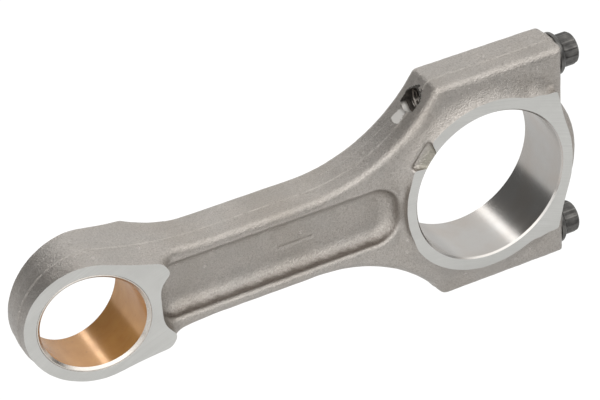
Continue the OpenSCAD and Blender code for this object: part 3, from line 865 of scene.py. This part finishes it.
# ----------------------------------------------------------------- bush
def bush():
    segs, outer, ch = 192, SEAT_R - 0.02, 0.8
    v, f, rings = slanted([(PIN_R, -1, -ch), (PIN_R + ch, -1, 0), (outer - 0.1, -1, 0), (outer, -1, -0.1),
                           (outer, 1, -0.1), (outer - 0.1, 1, 0), (PIN_R + ch, 1, 0), (PIN_R, 1, -ch)], segs)
    a, b = rings[-1], rings[0]
    f += [[a[i], a[(i + 1) % segs], b[(i + 1) % segs], b[i]] for i in range(segs)]
    ob = outward(mesh_object("bush", v, f))
    ob.data.materials.append(M_BRONZE)
    ob.data.materials.append(M_CUT_BRONZE)
    for p in ob.data.polygons:
        c_ = p.center / MM
        p.material_index = 0 if abs(math.hypot(c_.x + L, c_.z) - PIN_R) < 0.05 else 1
    ob.data.set_sharp_from_angle(angle=math.radians(25))
    return ob


# ----------------------------------------------------------------- bolts
def bolt(name, s):
    """A flange-head bolt with a twelve-point drive, a reduced shank and a rolled thread, along X from its seat."""
    segs = 144
    drive, head = 5.65, 8.1

    def star(i, soft=0.0):
        t = 360.0 * i / segs
        k = drive * math.cos(math.radians(30))
        r = max(k / math.cos(math.radians(t % 60 - 30)), k / math.cos(math.radians((t + 30) % 60 - 30)))
        return min(r, drive - 0.16) * (1 - soft) + soft * (drive * 0.94)

    def ring(r, h):
        return [(r, SEAT_X + h)] * segs

    def points(h, limit=99.0, shrink=0.0, soft=0.0):
        return [(min(star(i, soft) - shrink, limit), SEAT_X + h) for i in range(segs)]

    rows = [ring(0.0, head - 1.1), ring(2.5, head - 1.1), ring(2.95, head - 0.7), ring(3.35, head - 0.12), ring(3.7, head),
            points(head, 4.55), points(head - 0.12, 4.85), points(head - 0.45, 5.2), points(head - 0.8, 5.45), points(head - 1.15)]
    rows += [points(h) for h in (6.2, 5.2, 4.2, 3.3)]
    rows += [points(2.85, soft=0.15), points(2.6, shrink=-0.12, soft=0.5), points(2.4, shrink=-0.5, soft=0.85)]
    rows += [ring(r, h) for r, h in ((6.35, 2.0), (6.85, 1.62), (7.1, 1.3), (7.2, 0.95), (7.2, 0.25), (7.05, 0.03), (4.75, 0.03),
                                     (BOLT_R + 0.15, -0.12), (BOLT_R, -0.5), (BOLT_R, -13.0), (3.95, -14.0), (3.95, -23.2))]
    rows += thread_rows(SEAT_X - 23.8, SEAT_X - 43.3, 3.9, BOLT_R - 0.02, segs, 1.2, 0.8)
    rows += [ring(3.3, -44.0), ring(0.0, -44.0)]
    ob = closed_screw(name, rows, segs, s * BOLT_Z)
    ob.data.materials.append(M_BLACK)
    ob.data.set_sharp_from_angle(angle=math.radians(24))
    return ob


pin_bush = bush()
up, lo_ = bolt("bolt_upper_look", 1), bolt("bolt_lower_look", -1)

for ob, bname, node, slot in ((body, "rod", "rod_body", "forged_steel"), (cap, "cap", "rod_cap", "forged_steel"),
                              (pin_bush, "rod", "small_end_bush", "bronze"), (up, "bolt_upper", "cap_bolt_upper", "black_steel"),
                              (lo_, "bolt_lower", "cap_bolt_lower", "black_steel")):
    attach(ob, bname)
    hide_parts(node)

# ----------------------------------------------------------------- stage, light, camera
floor = mesh_object("floor", [(-4000, -4000, -40.6), (4000, -4000, -40.6), (4000, 4000, -40.6), (-4000, 4000, -40.6)], [[0, 1, 2, 3]], smooth=False)
fm = bpy.data.materials.new("pale_floor")
fn, fl = nodes_of(fm)
fn.clear()
out = fn.new("ShaderNodeOutputMaterial")
em = fn.new("ShaderNodeEmission")
em.inputs["Color"].default_value = (1.0, 1.0, 0.995, 1)
pos, sepf, near, path = fn.new("ShaderNodeNewGeometry"), fn.new("ShaderNodeSeparateXYZ"), fn.new("ShaderNodeMapRange"), fn.new("ShaderNodeLightPath")
fl.new(pos.outputs["Position"], sepf.inputs[0])
fl.new(sepf.outputs["Y"], near.inputs[0])
near.interpolation_type = "SMOOTHSTEP"
for i, v in enumerate((-0.34, -0.13, 0.05, 1.0)):  # the table ends a little in front of the part
    near.inputs[i + 1].default_value = v
# painted contact shadow: for reflected rays the floor's glow is dimmed where the part stands over it
under = fn.new("ShaderNodeMapRange")
fl.new(sepf.outputs["Y"], under.inputs[0])
under.interpolation_type = "SMOOTHSTEP"
for i, v in enumerate((-0.050, -0.010, 0.92, 0.70)):  # and is dimmer where the part stands over it
    under.inputs[i + 1].default_value = v
both = fn.new("ShaderNodeMath")
both.operation = "MULTIPLY"
fl.new(near.outputs[0], both.inputs[0])
fl.new(under.outputs[0], both.inputs[1])
seen = fn.new("ShaderNodeMix")
fl.new(path.outputs["Is Camera Ray"], seen.inputs["Factor"])
fl.new(both.outputs[0], seen.inputs["A"])
seen.inputs["B"].default_value = 1.06
fl.new(seen.outputs["Result"], em.inputs["Strength"])
fl.new(em.outputs[0], out.inputs[0])
floor.data.materials.append(fm)

world = bpy.data.worlds.new("studio")
sc.world = world
world.use_nodes = True
wn, wl = world.node_tree.nodes, world.node_tree.links
wn.clear()
wout, wbg, geo = wn.new("ShaderNodeOutputWorld"), wn.new("ShaderNodeBackground"), wn.new("ShaderNodeTexCoord")


def wmath(op, a, b=None, clamp=False):
    t = wn.new("ShaderNodeMath")
    t.operation = op
    t.use_clamp = clamp
    for i, x in enumerate((a, b)):
        if x is None:
            continue
        if isinstance(x, (int, float)):
            t.inputs[i].default_value = x
        else:
            wl.new(x, t.inputs[i])
    return t.outputs[0]


def lobe_at(direction, sharp, amount):
    """amount * exp(-sharp * (1 - cos angle)) around a direction."""
    d = Vector(direction).normalized()
    t = wn.new("ShaderNodeVectorMath")
    t.operation = "DOT_PRODUCT"
    t.inputs[1].default_value = d
    wl.new(geo.outputs["Generated"], t.inputs[0])
    e = wmath("MULTIPLY", wmath("SUBTRACT", t.outputs["Value"], 1.0), sharp)
    return wmath("MULTIPLY", wmath("EXPONENT", e), amount)


sepw = wn.new("ShaderNodeSeparateXYZ")
wl.new(geo.outputs["Generated"], sepw.inputs[0])


def wstep(x, a, b):
    t = wn.new("ShaderNodeMapRange")
    t.interpolation_type = "SMOOTHSTEP"
    for i, v in enumerate((a, b, 0.0, 1.0)):
        t.inputs[i + 1].default_value = v
    wl.new(x, t.inputs[0])
    return t.outputs[0]


# the studio behind the part: a dark gap between the white table and the overhead softbox
psi = wmath("MULTIPLY", wmath("ARCTAN2", sepw.outputs["Z"], sepw.outputs["X"]), 180 / math.pi)
gap = wmath("MULTIPLY", wmath("MULTIPLY", wstep(psi, 84, 90), wmath("SUBTRACT", 1.0, wstep(psi, 172, 180))), wstep(sepw.outputs["Y"], -0.30, 0.05))
total = wmath("SUBTRACT", 0.86, wmath("MULTIPLY", gap, 0.74))
# in front: a dark room at eye level, and the bright ceiling panel above it
facing = wstep(wmath("MULTIPLY", sepw.outputs["Y"], -1.0), 0.05, 0.4)
low_ = wmath("MULTIPLY", wmath("SUBTRACT", 1.0, wstep(sepw.outputs["Z"], 0.22, 0.42)), wstep(sepw.outputs["X"], -0.22, 0.12))
total = wmath("SUBTRACT", total, wmath("MULTIPLY", wmath("MULTIPLY", facing, low_), 0.80))
total = wmath("ADD", total, wmath("MULTIPLY", wmath("MULTIPLY", wstep(wmath("MULTIPLY", sepw.outputs["Y"], -1.0), 0.05, 0.3), wstep(sepw.outputs["Z"], 0.38, 0.62)), 0.95))
total = wmath("ADD", total, lobe_at((-0.55, -0.78, 0.34), 7.0, 0.6))
total = wmath("MAXIMUM", total, 0.05)
wpath = wn.new("ShaderNodeLightPath")
total = wmath("ADD", total, wmath("MULTIPLY", wpath.outputs["Is Camera Ray"], wmath("SUBTRACT", 1.06, total)))
wl.new(total, wbg.inputs["Strength"])
wbg.inputs["Color"].default_value = (1.0, 0.995, 0.985, 1)
wl.new(wbg.outputs[0], wout.inputs[0])



def softbox(name, where, towards, width, height, radiance):
    """A soft rectangular light; its radiance is given, so its power follows from its area."""
    li = bpy.data.lights.new(name, "AREA")
    li.shape = "RECTANGLE"
    li.size, li.size_y, li.energy = width, height, radiance * math.pi * width * height
    o = bpy.data.objects.new(name, li)
    sc.collection.objects.link(o)
    z = (Vector(where) - Vector(towards)).normalized()
    x = Vector((1, 0, 0)) - z * z.x
    x.normalize()
    y = z.cross(x)
    o.matrix_world = Matrix(((x.x, y.x, z.x, where[0]), (x.y, y.y, z.y, where[1]), (x.z, y.z, z.z, where[2]), (0, 0, 0, 1)))
    return o


softbox("strip", (-0.037, 0.784, 0.70), (-0.037, 0, 0), 0.165, 0.9, 2.3)

cam = bpy.data.cameras.new("camera")
cam.sensor_width, cam.lens = 36.0, 150.04
cam.clip_start, cam.clip_end = 0.05, 20
co = bpy.data.objects.new("camera", cam)
sc.collection.objects.link(co)
X, Y, Z = (0.88481329, -0.46137832, -0.06508059), (0.31069005, 0.48011424, 0.82034261), (-0.34724218, -0.74606994, 0.56815712)
co.matrix_world = Matrix(((X[0], Y[0], Z[0], -0.333253), (X[1], Y[1], Z[1], -0.582487), (X[2], Y[2], Z[2], 0.454556), (0, 0, 0, 1)))
sc.camera = co
sc.view_settings.view_transform = "Standard"
sc.view_settings.look = "None"
